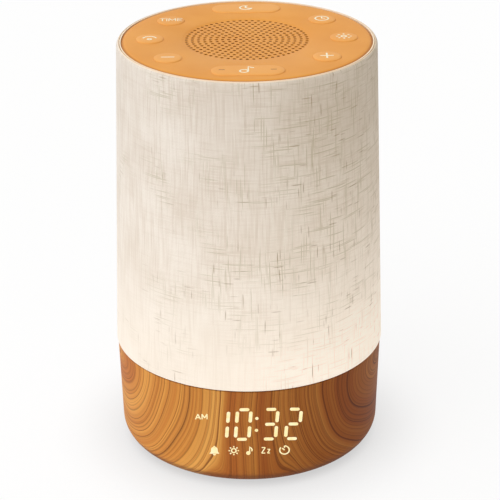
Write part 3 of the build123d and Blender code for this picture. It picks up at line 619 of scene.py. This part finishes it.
    # painted light: the glow is made stronger towards the right, to lift the shaded side near the bottom
    painted_glow_side = mask(tree, axes.outputs["X"], *painted_glow_side_span)
    above = mask(tree, height, *lamp_span)
    above = math_node(tree, "MULTIPLY", above, math_node(tree, "MULTIPLY_ADD", painted_glow_side, 0.74, 0.76))
    near = mask(tree, height, *near_span)
    near = math_node(tree, "MULTIPLY", near, math_node(tree, "MULTIPLY_ADD", painted_glow_side, 0.8, 0.5))
    lamp = math_node(tree, "ADD", above, near)
    opening = math_node(tree, "MULTIPLY_ADD", thick, -0.4, math_node(tree, "MULTIPLY_ADD", dash, -0.6, 1.0))
    through = math_node(tree, "MULTIPLY", lamp, opening)
    glow = mix_colors(tree, through, (0, 0, 0, 1), lamp_color)
    tree.links.new(glow, shader.inputs["Emission Color"])
    shader.inputs["Emission Strength"].default_value = 0.57
    shader.inputs["Sheen Weight"].default_value = 0.05
    relief = math_node(tree, "MULTIPLY_ADD", dash, 0.5, weave)
    bump = add_node(tree, "ShaderNodeBump", {"Height": relief, "Strength": 0.2, "Distance": 0.0002})
    tree.links.new(bump.outputs[0], shader.inputs["Normal"])
    return material


shoulder_rise = shoulder_radius * sin(radians(shoulder_turn))
cloth_top = cloth_high[2] - shoulder_rise
row_rise = (cloth_top - cloth_low[2]) / cloth_rows
cloth_outside = [
    (cloth_bottom_radius - cloth_taper * row / cloth_rows, cloth_low[2] + row_rise * row)
    for row in range(cloth_rows)
]
shoulder_center = (cloth_bottom_radius - cloth_taper - shoulder_radius, cloth_top)
cloth_outside += arc(shoulder_radius, 0, shoulder_turn, shoulder_center, 6)
cloth_inside = arc(shoulder_radius - cloth_thickness, shoulder_turn, 0, shoulder_center, 4)
cloth_inside.append((cloth_bottom_radius - cloth_thickness, cloth_low[2]))
linen_sleeve = turned("linen_sleeve", cloth_outside + cloth_inside + cloth_outside[:1], cloth_steps)
linen_sleeve.data.materials.append(slub_linen())
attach(linen_sleeve, "clock_body")
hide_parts("shade_fabric")

# The rim is a thin cream ring that caps the tube inside the turned edge of the cloth and carries the panel.
# Only its narrow lip shows round the orange.
dress(moulded("cream_rim", (255, 236, 208), (250, 226, 192), 0.45), "top_rim")

# The control panel is moulded in soft matt orange. A round dish of small holes in the middle lets out the
# sound, eight openings take the keys, and four posts below take the screws of the tray.
panel_low, panel_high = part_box("top_panel")
panel_top = panel_high[2]
panel_radius = panel_high[0]
panel_thickness = 0.0030
panel_border = (0.002225, 0.0006)
panel_edge = (0.0016, 0.0008)
panel_steps = 160
field_radius = 0.0274
field_depth = 0.0004
hole_rings = 10
hole_pitch = 0.00258
hole_radius = 0.00078
hole_sides = 10
post_size = 0.0064
post_inset = 0.00975
post_angle = 57
key_inset = 0.0122
key_sides = 48
key_side_angle = 37
key_clearance = 0.0001
round_key_radius = 0.0060
long_key_size = (0.0305, 0.0118)
overrun = 0.001
round_key_angles = {
    "brightness": 0,
    "timer": key_side_angle,
    "time": 180 - key_side_angle,
    "light": 180,
    "volume_down": 180 + key_side_angle,
    "volume_up": -key_side_angle,
}
long_key_angles = {"sleep": 90, "sound": -90}
key_angles = {**round_key_angles, **long_key_angles}
key_places = {key: polar(panel_radius - key_inset, angle) for key, angle in key_angles.items()}


def post(name, sides, radius, low, high):
    """An upright post on the axis."""
    bpy.ops.object.select_all(action="DESELECT")
    middle = (0, 0, (low + high) / 2)
    bpy.ops.mesh.primitive_cylinder_add(vertices=sides, radius=radius, depth=high - low, location=middle)
    bpy.ops.object.transform_apply(location=True, rotation=False, scale=False)
    bpy.context.object.name = name
    return bpy.context.object


def long_post(name, sides, size, low, high):
    """An upright post on the axis with round ends, drawn out from a round one."""
    piece = post(name, sides, size[1] / 2, low, high)
    half_straight = (size[0] - size[1]) / 2
    for side in (-1, 1):
        bpy.ops.object.mode_set(mode="EDIT")
        bpy.ops.mesh.select_mode(type="VERT")
        bpy.ops.mesh.select_all(action="DESELECT")
        bpy.ops.object.mode_set(mode="OBJECT")
        for vertex in piece.data.vertices:
            vertex.select = side * vertex.co.x > 0
        bpy.ops.object.mode_set(mode="EDIT")
        bpy.ops.transform.translate(value=(side * half_straight, 0, 0))
        bpy.ops.object.mode_set(mode="OBJECT")
    return piece


def block(name, size, low, high):
    """A block on the axis with a square or oblong base."""
    bpy.ops.object.select_all(action="DESELECT")
    bpy.ops.mesh.primitive_cube_add(size=1, location=(0, 0, (low + high) / 2))
    bpy.ops.transform.resize(value=(size[0], size[1], high - low))
    bpy.ops.object.transform_apply(location=True, rotation=False, scale=True)
    bpy.context.object.name = name
    return bpy.context.object


def copy_at(piece, name, place):
    """A copy of a piece with its own mesh, moved sideways."""
    copied = piece.copy()
    copied.data = piece.data.copy()
    copied.data.transform(Matrix.Translation((place[0], place[1], 0)))
    copied.name = name
    bpy.context.collection.objects.link(copied)
    return copied


def cut_away(piece, cutter):
    """Cut one piece out of another."""
    pick(piece)
    cut = piece.modifiers.new("cut", "BOOLEAN")
    cut.object = cutter
    cut.operation = "DIFFERENCE"
    cut.solver = "EXACT"
    bpy.ops.object.modifier_apply(modifier="cut")
    bpy.data.objects.remove(cutter)


def soft_orange():
    """Matt orange plastic, with painted shade at the edge of the panel and inside the sound holes."""
    painted_edge_shade_brown = screen_color(176, 108, 40)
    painted_hole_shade_brown = screen_color(150, 84, 26)
    edge_place = panel_radius * 1000
    material = moulded("panel_plastic", (233, 161, 72), (226, 151, 60), 0.55, 4.0, 0.12)
    tree = material.node_tree
    shader = tree.nodes["Principled BSDF"]
    shader.inputs["Specular IOR Level"].default_value = 0.3
    plain_orange = shader.inputs["Base Color"].links[0].from_socket
    place = place_in_millimetres(tree)
    axes = add_node(tree, "ShaderNodeSeparateXYZ", {0: place})
    flat = add_node(tree, "ShaderNodeVectorMath", {0: place, 1: (1, 1, 0)}, operation="MULTIPLY")
    reach = add_node(tree, "ShaderNodeVectorMath", {0: flat.outputs[0]}, operation="LENGTH").outputs["Value"]
    # painted shade: the last millimetre of the panel turns brown, for the shadow in the gap beside the rim
    painted_edge_shade = mask(tree, reach, edge_place - 1.3, edge_place - 0.3, 0.8)
    color = mix_colors(tree, painted_edge_shade, plain_orange, painted_edge_shade_brown)
    field_floor = (panel_top - field_depth) * 1000
    # painted shade: the walls of the sound holes turn dark brown below the dish, where shade falls in them
    painted_hole_shade = mask(tree, axes.outputs["Z"], field_floor - 0.02, field_floor - 0.35)
    in_field = math_node(tree, "LESS_THAN", reach, field_radius * 1000)
    color = mix_colors(tree, math_node(tree, "MULTIPLY", painted_hole_shade, in_field), color, painted_hole_shade_brown)
    tree.links.new(color, shader.inputs["Base Color"])
    return material


panel_bottom = panel_top - panel_thickness
panel_rim_top = panel_top - panel_edge[1]
panel_seat = panel_rim_top - panel_border[1]
plug_radius = panel_radius - panel_border[0]
cut_span = (panel_bottom - overrun, panel_top + overrun)
panel_outline = [
    (hole_radius, panel_bottom),
    (plug_radius, panel_bottom),
    (plug_radius, panel_seat),
    (panel_radius, panel_seat),
    (panel_radius, panel_rim_top),
    (panel_radius - 0.4 * panel_edge[0], panel_top - 0.45 * panel_edge[1]),
    (panel_radius - panel_edge[0], panel_top - 0.08 * panel_edge[1]),
    (panel_radius - 1.5 * panel_edge[0], panel_top),
    (field_radius + field_depth, panel_top),
    (field_radius, panel_top - 0.4 * field_depth),
    (field_radius - field_depth, panel_top - field_depth),
    (hole_radius, panel_top - field_depth),
    (hole_radius, panel_bottom),
]
orange_panel = turned("orange_panel", panel_outline, panel_steps)
screw_post = block("screw_post", (post_size, post_size), panel_low[2], panel_bottom)
posts = []
for side in (0, 180):
    for turn in (-post_angle, post_angle):
        posts.append(copy_at(screw_post, "screw_post", polar(panel_radius - post_inset, side + turn)))
bpy.data.objects.remove(screw_post)
sound_hole = post("sound_hole", hole_sides, hole_radius, *cut_span)
round_opening = post("round_opening", key_sides, round_key_radius + key_clearance, *cut_span)
long_opening_size = [side + 2 * key_clearance for side in long_key_size]
long_opening = long_post("long_opening", key_sides, long_opening_size, *cut_span)
openings = [copy_at(round_opening, "opening", key_places[key]) for key in round_key_angles]
openings += [copy_at(long_opening, "opening", key_places[key]) for key in long_key_angles]
for ring in range(1, hole_rings + 1):
    for step in range(6 * ring):
        openings.append(copy_at(sound_hole, "opening", polar(ring * hole_pitch, 60 * step / ring)))
for pattern in (sound_hole, round_opening, long_opening):
    bpy.data.objects.remove(pattern)
cut_away(orange_panel, joined("openings", openings))
orange_panel = joined("orange_panel", [orange_panel] + posts)
bpy.ops.object.shade_smooth_by_angle(angle=radians(35))
orange_panel.data.materials.append(soft_orange())
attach(orange_panel, "clock_body")
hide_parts("top_panel")

# The keys are caps of the same orange with softly rounded edges, six round and two long. Each has a flange
# that stops under the panel and a stem on the plunger of its switch, and carries a sign printed in cream.
# Two brown marks show where the sound key is touched.
long_low, long_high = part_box("sleep_key")
stem_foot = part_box("time_key")[0][2]
key_top = long_high[2]
pillow_width = 0.0022
pillow_stretch = 4.0
flange_gap = 0.0001
flange_thickness = 0.0010
flange_width = 0.0011
flange_top = panel_bottom - flange_gap
flange_bottom = flange_top - flange_thickness
stem_size = (0.0030, 0.0030)
guide_size = (0.0024, 0.0024)
guide_spread = 0.0110
key_stroke = 0.0008
moon_radius = 0.0027
letter_height = 0.0034
touch_spread = 0.0106
touch_reach = 0.0012


def pillow_top(piece):
    """Round the upper edge of a tall post widely, and lower it to the height of a key."""
    pick(piece)
    bpy.ops.object.mode_set(mode="EDIT")
    bpy.ops.mesh.select_mode(type="EDGE")
    bpy.ops.mesh.select_all(action="DESELECT")
    bpy.ops.object.mode_set(mode="OBJECT")
    top = max(vertex.co.z for vertex in piece.data.vertices)
    for edge in piece.data.edges:
        edge.select = all(abs(piece.data.vertices[corner].co.z - top) < 0.00001 for corner in edge.vertices)
    bpy.ops.object.mode_set(mode="EDIT")
    bpy.ops.mesh.bevel(offset=pillow_width, segments=8)
    bpy.ops.mesh.select_all(action="SELECT")
    bpy.ops.transform.resize(value=(1, 1, 1 / pillow_stretch), center_override=(0, 0, flange_top))
    bpy.ops.object.mode_set(mode="OBJECT")
    bpy.ops.object.shade_smooth_by_angle(angle=radians(50))


cap_span = (flange_top, flange_top + pillow_stretch * (key_top - flange_top))
round_cap = post("round_cap", key_sides, round_key_radius, *cap_span)
pillow_top(round_cap)
round_flange_size = (2 * (round_key_radius + flange_width), 2 * (round_key_radius + flange_width))
round_flange = block("flange", round_flange_size, flange_bottom, flange_top)
round_stem = block("stem", stem_size, stem_foot, flange_bottom)
round_key = joined("round_key", [round_cap, round_flange, round_stem])
long_cap = long_post("long_cap", key_sides, long_key_size, *cap_span)
pillow_top(long_cap)
long_flange_size = [side + 2 * flange_width for side in long_key_size]
long_flange = block("flange", long_flange_size, flange_bottom, flange_top)
long_stem = block("stem", stem_size, stem_foot, flange_bottom)
guide = block("guide", guide_size, long_low[2], flange_bottom)
guides = [copy_at(guide, "guide", (side * guide_spread, 0)) for side in (-1, 1)]
bpy.data.objects.remove(guide)
long_key = joined("long_key", [long_cap, long_flange, long_stem] + guides)
key_plastic = moulded("key_plastic", (240, 172, 90), (234, 163, 80), 0.55, 4.0, 0.12)
key_plastic.node_tree.nodes["Principled BSDF"].inputs["Specular IOR Level"].default_value = 0.3
for key, place in key_places.items():
    cap = copy_at(round_key if key in round_key_angles else long_key, f"{key}_cap", place)
    cap.data.materials.append(key_plastic)
    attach(cap, f"{key}_button")
    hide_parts(f"{key}_key")
bpy.data.objects.remove(round_key)
bpy.data.objects.remove(long_key)
dress(black_plastic, *[f"{key}_plunger" for key in key_places])

moon_bite = moon_radius * sqrt(0.5)
level_bar = [(-0.0028, 0), (0.0028, 0)]
upright_bar = [(0, -0.0032), (0, 0.0032)]
dawn_lines = [arc(0.0028, 10, 170, (0, -0.0006)), arc(0.0008, 0, 360, (0, -0.0014))]
ray_lines = [[polar(0.0024, 45 * step), polar(0.0034, 45 * step)] for step in range(8)]
clock_lines = [arc(0.0029, 0, 360), [(0, 0.0019), (0, 0), (0.0015, 0)]]
moon_line = arc(moon_radius, 75, 345) + arc(moon_bite, 300, 120, polar(moon_bite, 30))
note_head = arc(0.0017, 0, 360, (-0.0015, -0.0018))
note_stem = [(0.0002, -0.0018), (0.0002, 0.0036), (0.0013, 0.0026), (0.0026, 0.0020)]
letter_places = {"T": -0.0036, "I": -0.0017, "M": 0.0007, "E": 0.0041}
time_letters = [(letter, along, letter_height) for letter, along in letter_places.items()]
key_signs = {
    "volume_down": flat_sign("minus_sign", strokes=[level_bar], stroke=key_stroke),
    "volume_up": flat_sign("plus_sign", strokes=[level_bar, upright_bar], stroke=key_stroke),
    "time": word_sign("time_sign", time_letters, letter_stroke),
    "light": flat_sign("dawn_sign", strokes=dawn_lines, stroke=key_stroke),
    "brightness": flat_sign("ray_sign", strokes=[arc(0.0011, 0, 360)] + ray_lines, stroke=key_stroke),
    "timer": flat_sign("clock_sign", strokes=clock_lines, stroke=key_stroke),
    "sleep": flat_sign("moon_sign", strokes=[moon_line], stroke=key_stroke),
    "sound": flat_sign("sound_sign", strokes=[note_head, note_stem], stroke=key_stroke),
}
key_print = moulded("cream_print", (255, 246, 218), (253, 241, 206), 0.5)
for key, sign in key_signs.items():
    sign.data.transform(Matrix.Translation((*key_places[key], key_top)))
    sign.data.materials.append(key_print)
    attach(sign, f"{key}_button")
touch_places = (-touch_spread, touch_spread)
touch_lines = [[(place - touch_reach, 0), (place + touch_reach, 0)] for place in touch_places]
touch_marks = flat_sign("touch_marks", strokes=touch_lines, stroke=letter_stroke)
touch_marks.data.transform(Matrix.Translation((*key_places["sound"], key_top)))
touch_marks.data.materials.append(moulded("brown_print", (136, 74, 24), (118, 62, 18), 0.5))
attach(touch_marks, "sound_button")

# The speaker hangs under the panel: a dark paper cone in a steel basket with a ferrite magnet, sealed to the
# panel by a ring of foam.
dress(moulded("speaker_paper", (60, 40, 24), (44, 28, 16), 0.9), "speaker_cone")
dress(moulded("gasket_foam", (44, 44, 44), (28, 28, 28), 0.95), "speaker_gasket")
dress(moulded("magnet_ferrite", (70, 70, 72), (52, 52, 54), 0.5), "speaker_magnet")

# The clock stands on a plain white studio floor, which greys a little where the base shuts out the light.
# Soft light falls from all round, stronger and cooler from the left, and a broad lamp stands high on the
# same side.
floor_size = 12.0
floor_white = (0.97, 0.97, 0.97, 1)
floor_share = 0.82
contact_reach = 0.035
contact_stops = [(0.2, (0.72, 0.72, 0.72, 1)), (0.95, (1, 1, 1, 1))]
cool_left = (1.01, 1.05, 1.09, 1)
warm_right = (0.42, 0.37, 0.31, 1)
sun_strength = 1.0
sun_spread = radians(50)
sun_heading = (0.38, 0.54, -0.95)
bpy.ops.object.select_all(action="DESELECT")
bpy.ops.mesh.primitive_plane_add(size=floor_size, location=(0, 0, 0))
floor = bpy.context.object
floor.name = "studio_floor"
floor_material, floor_tree, floor_shader = new_material("studio_floor", 1.0)
floor_shader.inputs["Base Color"].default_value = floor_white
floor_shader.inputs["Specular IOR Level"].default_value = 0.0
openness = add_node(floor_tree, "ShaderNodeAmbientOcclusion", {"Distance": contact_reach}, samples=8)
contact_grey = ramp(floor_tree, openness.outputs["AO"], contact_stops)
floor_glow = add_node(floor_tree, "ShaderNodeEmission", {"Color": contact_grey, "Strength": 1.0})


def seen_directly(tree, share):
    """A share of one for rays that show the surroundings, and zero for rays that light the object."""
    path = add_node(tree, "ShaderNodeLightPath")
    seen = math_node(tree, "MAXIMUM", path.outputs["Is Camera Ray"], path.outputs["Is Glossy Ray"])
    seen = math_node(tree, "MAXIMUM", seen, path.outputs["Is Transmission Ray"])
    return math_node(tree, "MULTIPLY", seen, share)


floor_seen = seen_directly(floor_tree, floor_share)
floor_inputs = {0: floor_seen, 1: floor_shader.outputs[0], 2: floor_glow.outputs[0]}
floor_mix = add_node(floor_tree, "ShaderNodeMixShader", floor_inputs)
floor_tree.links.new(floor_mix.outputs[0], floor_tree.nodes["Material Output"].inputs["Surface"])
floor.data.materials.append(floor_material)
world = bpy.data.worlds.new("studio")
bpy.context.scene.world = world
world.use_nodes = True
world_tree = world.node_tree
direction = add_node(world_tree, "ShaderNodeTexCoord").outputs["Generated"]
rightward = add_node(world_tree, "ShaderNodeSeparateXYZ", {0: direction}).outputs["X"]
to_right = mask(world_tree, rightward, -0.9, 0.9)
ambient = world_tree.nodes["Background"]
sky = mix_colors(world_tree, to_right, cool_left, warm_right)
world_tree.links.new(sky, ambient.inputs["Color"])
ambient.inputs["Strength"].default_value = 1.0
backdrop = add_node(world_tree, "ShaderNodeBackground", {"Color": (1, 1, 1, 1), "Strength": 1.0})
world_inputs = {0: seen_directly(world_tree, 1.0), 1: ambient.outputs[0], 2: backdrop.outputs[0]}
either = add_node(world_tree, "ShaderNodeMixShader", world_inputs)
world_tree.links.new(either.outputs[0], world_tree.nodes["World Output"].inputs["Surface"])
sun_light = bpy.data.lights.new("soft_sun", "SUN")
sun_light.energy = sun_strength
sun_light.angle = sun_spread
soft_sun = bpy.data.objects.new("soft_sun", sun_light)
soft_sun.rotation_euler = Vector(sun_heading).to_track_quat("-Z", "Y").to_euler()
bpy.context.collection.objects.link(soft_sun)

# The camera stands in front and looks down on the clock, level but for a slight tilt.
image_width = 500
focal_pixels = 1965.8
camera_distance = 0.8000
camera_height = 0.45495
camera_pitch = radians(24.583)
camera_swing = radians(0.4)
camera_aim = radians(0.048)
camera_tilt = radians(-0.438)
camera_data = bpy.data.cameras.new("photo_camera")
camera_data.sensor_width = 36.0
camera_data.lens = focal_pixels * camera_data.sensor_width / image_width
camera_data.clip_end = 20.0
camera = bpy.data.objects.new("photo_camera", camera_data)
stand = Matrix.Rotation(-camera_swing, 4, "Z") @ Matrix.Translation((0, -camera_distance, camera_height))
aim = Matrix.Rotation(-camera_aim, 4, "Z") @ Matrix.Rotation(pi / 2 - camera_pitch, 4, "X")
camera.matrix_world = stand @ aim @ Matrix.Rotation(camera_tilt, 4, "Z")
bpy.context.collection.objects.link(camera)
bpy.context.scene.camera = camera
bpy.context.scene.view_settings.view_transform = "Standard"
